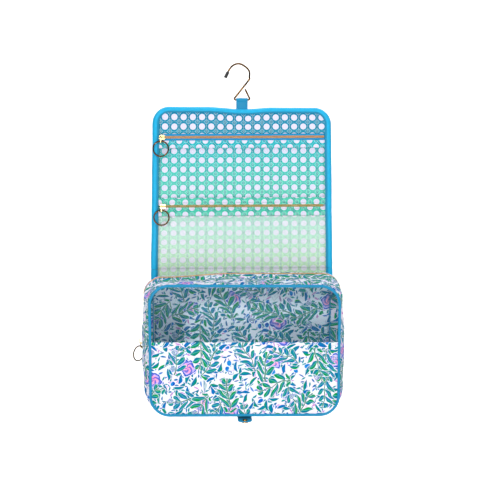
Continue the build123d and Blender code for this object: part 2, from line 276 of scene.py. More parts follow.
CANE_PITCH = 12.6 * MM
HOLE = rgb(208, 214, 228)
OMBRE = [
    (-0.058, rgb(0, 124, 166)),
    (-0.092, rgb(0, 142, 172)),
    (-0.106, rgb(34, 176, 190)),
    (-0.130, rgb(46, 192, 178)),
    (-0.178, rgb(82, 204, 170)),
    (-0.200, rgb(56, 192, 158)),
    # partly painted light: the ombre is the print's own colour change, and its two lowest stops are also lightened
    # to make up for the pouch's shadow over the pocket's foot
    (-0.222, rgb(134, 222, 184)),
    (-0.282, rgb(172, 232, 152)),
]


def cane_print(name, turn=0.0, hole_size=0.306):
    """Cane webbing in print: round holes in a grid, between fine strands that change colour with height."""
    paint = Paint(name, roughness=0.7, specular_ior_level=0.08)
    x, y = paint.print_place()
    top, foot = OMBRE[0][0], OMBRE[-1][0]
    ombre = paint.node("ValToRGB", fac=(y - top) / (foot - top))
    ramp = ombre.color_ramp
    for place, colour in OMBRE[1:-1]:
        ramp.elements.new((place - top) / (foot - top)).color = (*colour, 1.0)
    for end in (0, -1):
        ramp.elements[end].color = (*OMBRE[end][1], 1.0)
    across, up = turned(x, y, turn)
    drift = paint.noise(paint.vector(x, y), 55.0)
    across = (across + drift * (0.8 * MM)) / CANE_PITCH
    up = (up - drift * (0.8 * MM)) / CANE_PITCH
    side = abs(across.do("FRACT") - 0.5)
    rise = abs(up.do("FRACT") - 0.5)
    radius = length(side, rise)
    eight = side.do("MAXIMUM", rise) * 0.5 + (side + rise) * 0.36
    hole_edge = radius * 0.55 + eight * 0.45
    ground = ombre.outputs["Color"]
    pale = paint.mix(0.45, ground, rgb(214, 240, 246))
    dark = paint.mix(0.76, ground, rgb(0, 92, 114))
    colour = paint.mix(side.near(0.385, 0.02), paint.mix(0.75, ground, dark), ground)

    def beads(along):
        return (along * (12 * math.pi)).do("SINE").near(-0.1, 0.5)

    # strands, and a rim round each hole
    for distance, half, blur, share, tone in (
        (side - 0.452, 0.016, 0.018, 1.0, dark),
        (side - 0.5, 0.026, 0.016, beads(up), pale),
        (rise - 0.5, 0.016, 0.016, beads(across) * 0.8, pale),
        (rise - 0.448, 0.013, 0.016, 0.8, dark),
        (side + rise - 0.74, 0.022, 0.014, 0.9, pale),
        (side - rise, 0.012, 0.014, 0.55, pale),
        (hole_edge - hole_size - 0.038, 0.010, 0.014, 0.85, dark),
    ):
        colour = paint.mix(abs(distance).near(half, blur) * share, colour, tone)
    wash = abs(radius - 0.14 - drift * 0.08).near(0.03, 0.05)
    tint = paint.mix(wash * 0.55, HOLE, rgb(216, 190, 214))
    fleck = paint.noise(paint.vector(x, y), 420.0, seed=3.0)
    tint = paint.mix(fleck.near(0.40, 0.25) * 0.25, tint, rgb(205, 196, 228))
    return paint.done(paint.mix(hole_edge.near(hole_size, 0.03), colour, tint), relief=weave_height(x, y))


def motif_cells(paint, x, y, size, shift, wobble=0.75):
    """Cells with a motif each: its own coordinates, in cells and turned at random, and two random numbers."""
    spot = paint.vector(x / size + shift, y / size + shift * 1.7)
    cells = paint.node("TexVoronoi", vector=spot, scale=1.0, randomness=wobble)
    cells.voronoi_dimensions = "2D"
    chance = paint.node("SeparateColor", color=cells.outputs["Color"])
    first, second = (Number(paint.tree, chance.outputs[k]) for k in ("Red", "Green"))
    away = (here - middle for here, middle in zip(paint.parts(spot), paint.parts(cells.outputs["Position"])))
    return *turned(*away, first * (2 * math.pi)), first, second


def leafy_sprig(x, y, reach, spacing, leaf, width=0.36):
    """Distances from the leaves and the stem of a curved sprig, in cells. leaf is the longest leaf."""
    bend = (x * 5.0).do("SINE") * 0.08
    off = abs(y - bend)
    beyond = abs(x) - reach
    taper = (x * x) * (-0.6 / (reach * reach)) + 1.0
    along = off / (taper * leaf)
    slant = x - off * 0.95
    half = (along * math.pi).do("SINE") * (width * spacing)
    slope = ((slant / spacing).do("FRACT") - 0.5) * spacing
    away = abs(slope)
    leaves = (away - half).do("MAXIMUM", (along - 0.97) * leaf).do("MAXIMUM", beyond)
    return leaves, (off - 0.009).do("MAXIMUM", beyond), away, slope


def almond(x, y, long, wide):
    """Distance from a pointed stroke, thickest at its middle."""
    share = x / (long / 2)
    return abs(y) - (share * share * -1.0 + 1.0) * (wide / 2)


def spiral(x, y, reach, pitch, thick):
    """Distance from a curl that winds in from a reach."""
    radius = length(x, y)
    angle = y.do("ARCTAN2", x) / (2 * math.pi)
    wound = abs((radius / pitch - angle).do("FRACT") - 0.5) * pitch
    return (wound - thick).do("MAXIMUM", radius - reach)


def floral_print(name, pale=rgb(222, 229, 238), blush=rgb(230, 222, 236)):
    """A painted garden of sprigs, flowers, curls and strokes, each with a pale rim, on a pale ground."""
    paint = Paint(name, roughness=0.7, specular_ior_level=0.08)
    x, y = paint.print_place()
    place = paint.vector(x, y)
    sway = paint.noise(place, 60.0, detail=1.0)
    swing = paint.noise(place, 60.0, detail=1.0, seed=5.0)
    rough = paint.noise(place, 700.0, detail=2.0)
    x = x + (sway - 0.5) * (8 * MM) + (rough - 0.5) * (0.8 * MM)
    y = y + (swing - 0.5) * (8 * MM)
    ground = paint.mix(sway.near(0.45, 0.1), pale, blush)
    brush = paint.noise(place, 160.0, detail=2.0, seed=9.0)
    colour = ground

    def draw(distance, keep, rim, tone, blur=0.012):
        cleared = paint.mix(distance.near(rim, blur) * keep, colour, ground)
        return paint.mix(distance.near(0.0, blur) * keep, cleared, tone)

    # faint grey blooms
    a, b, chance, other = motif_cells(paint, x, y, 44 * MM, 3.3)
    radius = length(a, b)
    curve = radius + (b.do("ARCTAN2", a) * 5.0).do("SINE") * 0.03
    sketch = abs((curve * 9.0).do("FRACT") - 0.5).near(0.07, 0.09) * radius.near(0.22, 0.02)
    colour = paint.mix(sketch * chance.near(0.6, 0.01) * 0.35, colour, rgb(150, 160, 165))

    # fine strokes
    for size, shift, tone, other_tone in (
        (8.0 * MM, 44.0, rgb(0, 100, 164), rgb(70, 120, 196)),
        (8.5 * MM, 71.0, rgb(0, 138, 150), rgb(190, 134, 200)),
    ):
        a, b, chance, other = motif_cells(paint, x, y, size, shift, wobble=0.9)
        tint = paint.mix(other.near(0.68, 0.05), other_tone, tone)
        colour = draw(almond(a, b, 0.94, 0.24), chance.near(0.78, 0.01), 0.06, tint, 0.03)

    # berries
    a, b, chance, other = motif_cells(paint, x, y, 15 * MM, 52.0, wobble=0.9)
    berry = paint.mix(brush.near(0.5, 0.05), rgb(16, 78, 178), rgb(30, 128, 204))
    colour = draw(length(a * 0.8, b) - 0.17, chance.near(0.30, 0.01), 0.05, berry, 0.02)

    # loose leaves
    for size, shift, tone, other_tone in (
        (17 * MM, 27.0, rgb(0, 132, 106), rgb(0, 146, 78)),
        (16 * MM, 35.0, rgb(0, 104, 176), rgb(0, 132, 136)),
    ):
        a, b, chance, other = motif_cells(paint, x, y, size, shift, wobble=0.9)
        tint = paint.mix(other.near(0.5, 0.05), other_tone, tone)
        tint = paint.mix(b.near(-0.02, 0.03) * 0.8, tint, rgb(0, 106, 158))
        colour = draw(almond(a, b + a * a * 0.5, 0.94, 0.27), chance.near(0.74, 0.01), 0.045, tint, 0.02)

    # lavender and pink flowers of curved strokes
    a, b, chance, other = motif_cells(paint, x, y, 60 * MM, 5.7, wobble=0.6)
    radius = length(a, b)
    turn = b.do("ARCTAN2", a)
    edge = radius + (turn * 5.0 + brush * 6.0).do("COSINE") * 0.02 - 0.17
    keep = chance.near(0.7, 0.01)
    petal = paint.mix((radius + brush * 0.1).near(0.12, 0.06), rgb(178, 170, 236), rgb(248, 156, 190))
    swirl = (turn * 4.0 + radius * 60.0 + brush * 9.0).do("SINE").near(-0.3, 0.4)
    ink = paint.mix(other.near(0.5, 0.1), rgb(52, 110, 200), rgb(84, 92, 200))
    petal = paint.mix(swirl * 0.9, petal, ink)
    petal = paint.mix(abs(edge + 0.012).near(0.008, 0.01), petal, rgb(40, 80, 184))
    colour = draw(edge, keep, 0.015, petal)

    # large sprigs
    for size, shift, tone, shade in (
        (46 * MM, 12.4, rgb(0, 108, 168), rgb(0, 132, 126)),
        (52 * MM, 1.9, rgb(0, 126, 112), rgb(0, 140, 76)),
    ):
        a, b, chance, other = motif_cells(paint, x, y, size, shift, wobble=0.65)
        leaves, stem, away, slope = leafy_sprig(a, b, 0.45, 0.21, 0.28)
        tint = paint.mix(brush.near(0.48, 0.08), tone, shade)
        tint = paint.mix(slope.near(0.0, 0.012) * 0.75, tint, rgb(0, 110, 152))
        tint = paint.mix(away.near(0.006, 0.010) * 0.5, tint, rgb(96, 200, 140))
        colour = draw(leaves, chance.near(0.85, 0.01), 0.016, tint, 0.010)
        colour = draw(stem, chance.near(0.85, 0.01), 0.004, rgb(20, 112, 84), 0.008)

    # curls
    a, b, chance, other = motif_cells(paint, x, y, 27 * MM, 31.9)
    curl = spiral(a, b * 1.25, 0.16, 0.12, 0.013)
    colour = draw(curl, chance.near(0.36, 0.01), 0.02, rgb(30, 70, 168), 0.014)

    return paint.done(colour, relief=weave_height(x, y))


def blue_fabric(name, colour, thread=0.7 * MM, roughness=0.45, seam=None):
    """Coated cloth in one colour, with a fine weave whose hollows get painted shade, worn lighter spots, and
    painted shade along a seam.
    """
    paint = Paint(name, sheen_weight=0.05, specular_ior_level=0.3)
    x, y = paint.print_place()
    worn = paint.noise(paint.vector(x, y), 160.0, detail=4.0)
    tone = paint.mix(worn.near(0.45, 0.3) * 0.35, colour, dimmed(colour, 0.72))
    weave = weave_height(x, y, thread)
    # painted shade: the low points of the weave are coloured darker, as shade in its hollows
    tone = paint.mix(weave.near(-0.2, 0.8) * 0.18, tone, dimmed(colour, 0.5))
    if seam:
        # painted shade: a darker band along the seam line, standing in for the shade at the binding's inner edge
        shade = abs(y - seam[0]).near(seam[1] * 0.4, seam[1] * 0.6)
        tone = paint.mix(shade * 0.7, tone, dimmed(colour, 0.35))
    return paint.done(tone, worn * 0.2 + (roughness - 0.1), weave + worn * 2.0, 0.35, 0.06 * MM)


def metal(name, colour, roughness, metallic=1.0):
    """Polished plating with faint clouding."""
    paint = Paint(name, metallic=metallic)
    cloud = paint.speckle(300.0, 3.0)
    return paint.done(paint.mix(cloud * 0.5, colour, dimmed(colour, 0.8)), cloud * 0.08 + roughness)


def clear_sheet(name, tint, alpha, roughness):
    """Flexible clear vinyl with slow ripples."""
    paint = Paint(
        name, base_color=tint, alpha=alpha,
        specular_ior_level=0.35, coat_weight=0.25, coat_roughness=roughness,
    )
    place = paint.vector(*paint.print_place())
    slow = paint.noise(place, 28.0, detail=1.0)
    fine = paint.noise(place, 240.0, detail=2.0)
    return paint.done(None, fine * 0.08 + roughness, slow * 6.0 + fine * 0.2, 0.5, 0.4 * MM)


def plain(name, colour, roughness, grain=500.0):
    """A quiet surface with a fine grain: rubber, foam, board and thread."""
    paint = Paint(name)
    speck = paint.speckle(grain, 4.0)
    tone = paint.mix(speck * 0.3, colour, dimmed(colour, 0.6))
    return paint.done(tone, speck * 0.2 + (roughness - 0.1), speck, 0.3, 0.1 * MM)


BLUE = rgb(0, 138, 184)
BINDING_BLUE = rgb(0, 172, 222)
cane = cane_print("cane_print")
cane_bias = cane_print("cane_print_on_the_bias", math.pi / 4, 0.29)
floral = floral_print("floral_print")
# painted light and shade: this inside copy of the floral print has a ground made lighter, as painted light, and
# bluer, as painted bluish shade, for the inside of the pouch
floral_inside_painted_light = floral_print("floral_print_inside_painted_light", rgb(226, 242, 252), rgb(230, 240, 252))
blue = blue_fabric("blue_trim", BLUE)
# its seam band is painted shade along the binding's inner edge in front
blue_binding = blue_fabric("blue_binding", BINDING_BLUE, seam=(0.9 * MM, 3.2 * MM))
blue_tape = blue_fabric("blue_zipper_tape", rgb(20, 144, 204), thread=0.9 * MM, roughness=0.7)
gold = metal("gold_metal", rgb(172, 130, 68), 0.03)
# painted shade: a darker copy of the gold plating, standing in for the dark reflections on the hook and the pull
# rings
gold_painted_dark = metal("gold_metal_painted_dark", rgb(92, 64, 32), 0.05)
teeth_metal = metal("zipper_teeth_metal", rgb(224, 168, 112), 0.42, 0.45)
olive_teeth = metal("lower_zipper_teeth_metal", rgb(196, 172, 106), 0.42, 0.45)
pull_metal = metal("pull_metal", rgb(240, 212, 150), 0.22, 0.85)
vinyl = clear_sheet("clear_vinyl", rgb(150, 220, 248), 0.025, 0.08)
haze_vinyl = clear_sheet("hazy_vinyl", rgb(250, 255, 252), 0.17, 0.3)
rubber = plain("black_rubber", rgb(22, 22, 24), 0.5)
foam = plain("foam", rgb(240, 240, 236), 0.9, 1500.0)
board = plain("board", rgb(215, 215, 212), 0.8)
thread = plain("thread", rgb(16, 128, 186), 0.6, 2500.0)


# ---------------------------------------------------------------- mesh helpers
def piece_from(name, vertices, faces, corners, material):
    """A smooth piece in the row frame, with the print's coordinates on each face corner."""
    mesh = bpy.data.meshes.new(name)
    mesh.from_pydata(vertices, [], faces)
    prints = mesh.uv_layers.new(name="print")
    for loop, place in zip(prints.data, corners):
        loop.uv = place
    mesh.polygons.foreach_set("use_smooth", [True] * len(mesh.polygons))
    mesh.materials.append(material)
    made = bpy.data.objects.new(name, mesh)
    scene.collection.objects.link(made)
    return made


def drum(base, rings, sides):
    """The faces of a closed stack of rings of vertices, from the first vertex's number."""
    last = base + (rings - 1) * sides
    faces = [[base + side for side in reversed(range(sides))], [last + side for side in range(sides)]]
    for first in range(base, last, sides):
        for side in range(sides):
            turn = (side + 1) % sides
            faces.append((first + side, first + turn, first + sides + turn, first + sides + side))
    return faces


def unprinted(name, vertices, faces, material):
    """A piece whose material needs no print."""
    return piece_from(name, vertices, faces, [(0.0, 0.0)] * sum(len(face) for face in faces), material)


def grid(name, columns, rows, point, print_at, material, around=False):
    """A sheet of columns x rows faces. point and print_at take two shares from 0 to 1."""
    across = columns if around else columns + 1
    vertices = [point(c / columns, r / rows) for r in range(rows + 1) for c in range(across)]
    faces = []
    corners = []
    for r in range(rows):
        for c in range(columns):
            square = ((c, r), (c + 1, r), (c + 1, r + 1), (c, r + 1))
            faces.append([j * across + i % across for i, j in square])
            corners += [print_at(i / columns, j / rows) for i, j in square]
    return piece_from(name, vertices, faces, corners, material)


def bake_modifiers(made):
    """Keeps what the modifiers do in the mesh."""
    graph = bpy.context.evaluated_depsgraph_get()
    mesh = bpy.data.meshes.new_from_object(made.evaluated_get(graph))
    made.modifiers.clear()
    made.data = mesh
    mesh.polygons.foreach_set("use_smooth", [True] * len(mesh.polygons))
    return made


def thicken(made, thickness, offset=-1.0):
    """Gives a sheet its thickness. An offset of -1 adds it behind the sheet."""
    solid = made.modifiers.new("thickness", "SOLIDIFY")
    solid.thickness = thickness
    solid.offset = offset
    solid.use_even_offset = True
    return bake_modifiers(made)


def mend(made, merge=None, close=False):
    """Joins points closer than merge, closes open ends and turns every face outward."""
    shell = bmesh.new()
    shell.from_mesh(made.data)
    if merge:
        bmesh.ops.remove_doubles(shell, verts=shell.verts, dist=merge)
    if close:
        bmesh.ops.holes_fill(shell, edges=[edge for edge in shell.edges if edge.is_boundary])
    bmesh.ops.recalc_face_normals(shell, faces=shell.faces)
    shell.to_mesh(made.data)
    shell.free()
    return made


def settled(made, slot, nodes):
    if nodes:
        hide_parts(*nodes)
    return made


def fix(made, body, slot, *nodes):
    """Puts a finished piece on a body."""
    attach(made, body)
    return settled(made, slot, nodes)


def fold_over(made, fold, slot, *nodes):
    """Bakes a finished piece's place into its mesh and hides the CAD nodes it stands for, without bending it. A
    fold is the two bodies and the stretch that bends; it is not used.
    """
    first, second, start, end = fold
    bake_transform(made)
    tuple(start)
    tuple(end)
    return settled(made, slot, nodes)


LEAST_SHEET = 10 * MM


def cloth(flat, rests_on):
    """Compares the size a sewn sheet was cut to with the narrowest sheet, and keeps nothing of the result."""
    min(flat) >= LEAST_SHEET


def ease(share):
    share = min(max(share, 0.0), 1.0)
    return share * share * (3 - 2 * share)


def ripple(x, z, size, seed=0.0):
    """Smooth noise from -1 to 1 with features of a size."""
    return noise.noise(Vector((x / size, z / size, seed)))


# ---------------------------------------------------------------- the panel
# where the print of each piece was cut from its cloth
LINING_SHIFT = (5.2 * MM, -2.5 * MM)
HEADER_SHIFT = (5.3 * MM, 1.7 * MM)
HOLE_RISE = {"upper_trim_strip": 1.0 * MM, "lower_trim_strip": 2.4 * MM, "lower_head_strip": 0.8 * MM}
EDGE_DIP = 2.6 * MM  # how far the top edge sinks towards the strap
DIP_REACH = 45 * MM
EDGE_LEAN = 0.011  # how much lower the top edge is towards its right
TOP_SHARE = 0.990  # the panel spreads a little towards its foot
FOOT_SHARE = 1.030


def spread(x, z):
    """A place across the panel, once it has spread."""
    share = (panel_top - z) / (panel_top - panel_low)
    return bag_x + (x - bag_x) * (TOP_SHARE + (FOOT_SHARE - TOP_SHARE) * share)


def sunk(x, z):
    """The height of a point of the panel, once its top edge has sunk at the strap."""
    near = (1 + math.cos(math.pi * min(abs(x - bag_x) / DIP_REACH, 1))) / 2
    share = ease((z - upper_zip_z) / (panel_top - upper_zip_z))
    return z - (EDGE_DIP * near + EDGE_LEAN * (x - bag_x)) * share


PANEL_COLUMNS = 96
FOOT_ROWS = 10
ROW_HEIGHT = 2.5 * MM


def half_at(z, half, top, corner):
    """Half the width of a sheet with round top corners, at a height."""
    rise = z - (top - corner)
    if rise <= 0:
        return half
    return half - corner + math.sqrt(max(corner * corner - rise * rise, 0.0))


def panel_sheet(name, low, high, depth, material, thickness, rows=None, round_top=False, shift=(0, 0)):
    """A flat-cut sheet of the panel between two heights. depth(x, z) gives where its front face lies."""
    rows = rows or max(4, int((high - low) / ROW_HEIGHT))
    corner = panel_corner - edge_width if round_top else 0

    def place(u, v):
        z = low + v * (high - low)
        half = half_at(z, inner_half, panel_top - edge_width, corner)
        return bag_x + (2 * u - 1) * half, z

    def point(u, v):
        x, z = place(u, v)
        return spread(x, z), -depth(x, z), sunk(x, z)

    def print_at(u, v):
        x, z = place(u, v)
        return x + shift[0], z + shift[1]

    return thicken(grid(name, PANEL_COLUMNS, rows, point, print_at, material), thickness)


def crown(x, z, low, high, half, height, power=0.5):
    """How far a sheet stands forward between its seams, x from its middle."""
    up = max(0.0, 1 - ((2 * z - low - high) / (high - low)) ** 2)
    side = max(0.0, 1 - (x / half) ** 2)
    return height * math.sqrt(up) * side ** power


def pillow(x, z, low, high, height):
    """How far a padded stretch of the panel stands forward."""
    return crown(x - bag_x, z, low, high, inner_half, height, 0.3)


def uneven(face, height, size, seed=0.0):
    """The depth of a flat face that ripples."""
    return lambda x, z: face + height * ripple(x, z, size, seed)


def padded_depth(low, high, padding, height, size, seed):
    """The depth of a strip in front of the panel, padded between two seams."""
    flat = uneven(face_front, height, size, seed)
    return lambda x, z: flat(x, z) + pillow(x, z, low, high, padding)


FOLD_ROOM = 3 * MM
POCKET_FOLD = ("upper_panel", "lower_panel", (bag_x, 0, fold_z + FOLD_ROOM), (bag_x, 0, fold_z - FOLD_ROOM))

for name, depth, material, thickness, shift, slot, nodes in (
    (
        "panel_back_fabric", uneven(outer_front, -0.3 * MM, 30 * MM), floral, outer_front - outer_back,
        (0, 0), "floral_fabric", ("upper_outer_fabric", "lower_outer_fabric"),
    ),
    (
        "panel_foam", lambda x, z: foam_front - 0.1 * MM, foam, foam_front - foam_back - 0.3 * MM,
        (0, 0), "foam", ("upper_foam_pad", "lower_foam_pad"),
    ),
    (
        "panel_cane_lining", uneven(lining_front, 0.25 * MM, 34 * MM, 5.0), cane, lining_front - lining_back,
        LINING_SHIFT, "cane_print_fabric", ("upper_cane_lining", "lower_cane_lining"),
    ),
):
    top = panel_top - edge_width
    made = panel_sheet(name, panel_low, top, depth, material, thickness, round_top=True, shift=shift)
    fold_over(made, POCKET_FOLD, slot, *nodes)
    if material == foam:
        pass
    else:
        cloth((2 * inner_half, panel_top - panel_low), "panel_foam")

header_low, header_high = height_range("upper_header")
header = panel_sheet(
    "panel_header", header_low, header_high,
    padded_depth(header_low, header_high, 0.9 * MM, 0.25 * MM, 26 * MM, 2.0),
    cane, face_front - face_back, round_top=True, shift=HEADER_SHIFT,
)
fix(header, "upper_panel", "cane_print_fabric", "upper_header")
cloth((2 * inner_half, header_high - header_low), "panel_cane_lining")


def face_strip(name, low, high, row):
    """A narrow printed strip of the panel's face, cut on the bias so that a row of holes lies at a height."""
    rows_apart = CANE_PITCH / math.sqrt(2)
    lift = rows_apart * round(row / rows_apart) - row
    made = panel_sheet(
        name, low, high, padded_depth(low, high, 0.35 * MM, 0.12 * MM, 18 * MM, low * 90),
        cane_bias, face_front - face_back, rows=8, shift=(0.0, lift),
    )
    cloth((2 * inner_half, high - low), "panel_cane_lining")
    return made


for node, body in (("upper_trim_strip", "upper_panel"), ("lower_trim_strip", "lower_panel")):
    low, high = height_range(node)
    fix(face_strip("printed_" + node, low, high, low + HOLE_RISE[node]), body, "cane_print_fabric", node)
low, high = height_range("lower_head_strip")[0], height_range("fold_trim_strip")[1]
fold_strip = face_strip("printed_fold_strip", low, high, low + HOLE_RISE["lower_head_strip"])
fold_over(fold_strip, POCKET_FOLD, "cane_print_fabric", "fold_trim_strip", "lower_head_strip")


def pocket_window(node, body, material, slack, seed):
    """A clear pocket front, slack between its seams."""
    low, high = height_range(node)
    back, face = depth_range(node)

    def depth(x, z):
        swell = pillow(x, z, low, high, 0.8 * MM) * ripple(x, z, 40 * MM, seed)
        return face + pillow(x, z, low, high, slack) + swell

    made = panel_sheet("clear_" + node, low, high, depth, material, face - back)
    fix(made, body, "clear_vinyl", node)
    cloth((2 * inner_half, high - low), "panel_cane_lining")


pocket_window("upper_pocket_vinyl", "upper_panel", vinyl, 0.8 * MM, 4.0)
pocket_window("lower_pocket_vinyl", "lower_panel", haze_vinyl, 0.9 * MM, 9.0)


# ---------------------------------------------------------------- zippers
TOOTH = (0.55 * MM, 0.95 * MM, 0.95 * MM)  # half a tooth along the zipper, across it and out of it
TOOTH_PITCH = 0.85 * MM
TOOTH_LEVELS = ((-1, 0.8), (-0.5, 1.0), (0.5, 1.0), (1, 0.7))  # height and width at four levels of a tooth
TAPE_GAP = 1.4 * MM  # from the middle of a panel zipper to each tape


def teeth(name, stations, material):
    """A row of teeth: small blocks with a raised, narrowed face. A station is a place and its three directions."""
    long, tall, thick = TOOTH
    vertices = []
    faces = []
    for place, along, out, across in stations:
        faces += drum(len(vertices), len(TOOTH_LEVELS), 4)
        for level, shrink in TOOTH_LEVELS:
            for a, c in ((-1, -1), (1, -1), (1, 1), (-1, 1)):
                side = along * (a * long) + across * (c * tall)
                vertices.append(place + side * shrink + out * (level * thick))
    made = unprinted(name, vertices, faces, material)
    made.data.polygons.foreach_set("use_smooth", [False] * len(made.data.polygons))
    return made


def panel_zipper(node, body, z, tooth_material, tape_material):
    """A zipper across the panel: two tapes and the teeth between them, in two rows that mesh."""
    along, out, across = Vector((1, 0, 0)), Vector((0, -1, 0)), Vector((0, 0, 1))
    stations = []
    for index in range(int(2 * zip_half / TOOTH_PITCH)):
        x = bag_x - zip_half + (index + 0.5) * TOOTH_PITCH
        side = 1 if index % 2 else -1
        place = Vector((x, -(chain_back + chain_front) / 2, z)) + across * (side * 0.85 * MM)
        stations.append((place, along, out, across))
    made = teeth(node + "_chain", stations, tooth_material)
    soften = made.modifiers.new("soft_edges", "BEVEL")
    soften.width = 0.12 * MM
    soften.segments = 1
    fix(bake_modifiers(made), body, "gold_metal", node + "_teeth")
    tape_low, tape_high = height_range(node + "_tape")
    for name, low, high in (("lower_tape", tape_low, z - TAPE_GAP), ("upper_tape", z + TAPE_GAP, tape_high)):
        made = panel_sheet(
            f"{node}_{name}", low, high,
            lambda x, height: face_front - 0.2 * MM - 0.12 * MM * abs(ripple(x, height, 9 * MM, z * 50)),
            tape_material, 0.45 * MM, rows=4,
        )
        fix(made, body, "blue_trim", node + "_tape")
        cloth((2 * inner_half, high - low), "panel_cane_lining")


panel_zipper("upper_zipper", "upper_panel", upper_zip_z, teeth_metal, blue_tape)
panel_zipper("lower_zipper", "lower_panel", lower_zip_z, olive_teeth, cane_bias)


# ---------------------------------------------------------------- binding and stitches
def edge_path(spacing):
    """Places along the panel's edge, from the left foot over the top to the right foot.

    Each has the outward way there and how far along the path it is.
    """
    side = panel_top - panel_corner - panel_low
    quarter = math.pi / 2 * panel_corner
    flat = panel_half - panel_corner
    total = 2 * (side + quarter + flat)
    count = int(total / spacing)
    path = []
    for index in range(count + 1):
        s = total * index / count
        flip, run = (-1, s) if s <= total / 2 else (1, total - s)
        if run <= side:
            x, z, out_x, out_z = panel_half, panel_low + run, 1, 0
        elif run <= side + quarter:
            angle = (run - side) / panel_corner
            out_x, out_z = math.cos(angle), math.sin(angle)
            x, z = flat + panel_corner * out_x, panel_top - panel_corner * (1 - out_z)
        else:
            x, z, out_x, out_z = flat - (run - side - quarter), panel_top, 0, 1
        path.append((bag_x + flip * x, z, flip * out_x, out_z, s))
    return path


binding_back, binding_front = depth_range("upper_edge_binding")
binding_middle = (binding_front + binding_back) / 2
binding_rise = (binding_front - binding_back) / 2
ROLL = 3.0 * MM
ROLL_STEPS = 8
STITCH_INSET = 6.9 * MM
STITCH_SHARE = 0.80
TOP_BINDING = 0.74  # the binding's width along the top edge, against its sides

# the binding's outside, from its inner edge in front, over the roll, to its inner edge behind: (inset, depth)
front_wing = [(binding_width, 0.80), (binding_width - 0.5 * MM, 0.87), (STITCH_INSET, STITCH_SHARE)]
front_wing += [(5.6 * MM, 0.93), (4.2 * MM, 0.99)]
outline = list(front_wing)
for step in range(ROLL_STEPS + 1):
    angle = math.pi * (1 / 2 - step / ROLL_STEPS)
    outline.append((ROLL * (1 - math.cos(angle)), math.sin(angle)))
outline += [(inset, -share) for inset, share in reversed(front_wing)]
binding_section = [(inset, binding_middle + binding_rise * share) for inset, share in outline]
section_run = [0.0]
for (inset, depth), (next_inset, next_depth) in zip(binding_section, binding_section[1:]):
    section_run.append(section_run[-1] + math.hypot(next_inset - inset, next_depth - depth))


def narrowed(inset, out_z):
    """An inset from the panel's edge, less where the binding is narrower along the top."""
    return inset * (1 - (1 - TOP_BINDING) * max(out_z, 0) ** 2)


def edge_band(name, path):
    """A length of the folded binding along a path."""
    last, end = len(path) - 1, len(binding_section) - 1

    def point(u, v):
        x, z, out_x, out_z, s = path[round(u * last)]
        inset, depth = binding_section[round(v * end)]
        pucker = 0.22 * MM * noise.noise(Vector((s / (5 * MM), v * 6, 0)))
        pucker += 0.3 * MM * ripple(s, v * 0.01, 38 * MM)
        x -= out_x * (narrowed(inset, out_z) - pucker)
        z -= out_z * (narrowed(inset, out_z) - pucker)
        return spread(x, z), -(depth + 0.5 * pucker), sunk(x, z)

    def print_at(u, v):
        return path[round(u * last)][4], section_run[round(v * end)]

    made = thicken(grid(name, last, end, point, print_at, blue_binding), 0.9 * MM, 1.0)
    smooth = made.modifiers.new("smooth", "SUBSURF")
    smooth.levels = 1
    smooth.render_levels = 1
    return bake_modifiers(made)


fold_over(
    edge_band("panel_binding", edge_path(2.2 * MM)), POCKET_FOLD, "blue_trim",
    "upper_edge_binding", "lower_binding_left", "lower_binding_right",
)

# The panel's foot runs on behind the pouch's top edge, across the fold between them.
FOOT_REACH = 19.5 * MM
foot_low = panel_low - FOOT_REACH
FOOT_FOLD = ("lower_panel", "pouch_tray", (bag_x, 0, panel_low + 0.5 * MM), (bag_x, 0, foot_low))
vinyl_low = height_range("lower_pocket_vinyl")[0]
vinyl_face = depth_range("lower_pocket_vinyl")[1]
for name, high, depth, material, thickness, slot in (
    ("panel_foot_lining", panel_low + 1 * MM, lining_front - 0.15 * MM, cane, 0.6 * MM, "cane_print_fabric"),
    ("panel_foot_vinyl", vinyl_low + 0.5 * MM, vinyl_face, haze_vinyl, 0.3 * MM, "clear_vinyl"),
):
    made = panel_sheet(
        name, foot_low, high, lambda x, z: depth, material, thickness, rows=FOOT_ROWS, shift=LINING_SHIFT
    )
    fold_over(made, FOOT_FOLD, slot)
    cloth((2 * inner_half, high - foot_low), "panel_cane_lining")
foot_steps = [foot_low + step * FOOT_REACH / FOOT_ROWS for step in range(FOOT_ROWS + 1)]
left = [(bag_x - panel_half, z, -1, 0, z - panel_low) for z in foot_steps]
right = [(bag_x + panel_half, z, 1, 0, panel_low - z) for z in reversed(foot_steps)]
for name, path in (("left", left), ("right", right)):
    fold_over(edge_band(f"panel_foot_binding_{name}", path), FOOT_FOLD, "blue_trim")


STITCH_GAP = 1.0 * MM
STITCH_RADIUS = 0.24 * MM
STITCH_RINGS = 5
STITCH_SIDES = 6
FORWARD = Vector((0, -1, 0))


def stitches(name, line, stitch=2.3 * MM):
    """A row of stitches along a line of points, each a short thread that dips at its ends."""
    vertices = []
    faces = []
    ahead = STITCH_GAP
    for start, end in zip(line, line[1:]):
        span = (end - start).length
        way = (end - start) / span
        across = way.cross(FORWARD).normalized()
        while ahead + stitch < span:
            faces += drum(len(vertices), STITCH_RINGS, STITCH_SIDES)
            for ring in range(STITCH_RINGS):
                share = ring / (STITCH_RINGS - 1)
                hump = math.sin(math.pi * share)
                lift = STITCH_RADIUS * (hump * 1.2 - 0.4)
                middle = start + way * (ahead + share * stitch) + FORWARD * lift
                size = STITCH_RADIUS * (0.35 + 0.65 * hump)
                for side in range(STITCH_SIDES):
                    angle = 2 * math.pi * side / STITCH_SIDES
                    vertices.append(middle + (across * math.cos(angle) + FORWARD * math.sin(angle)) * size)
            ahead += stitch + STITCH_GAP
        ahead -= span
    return unprinted(name, vertices, faces, thread)


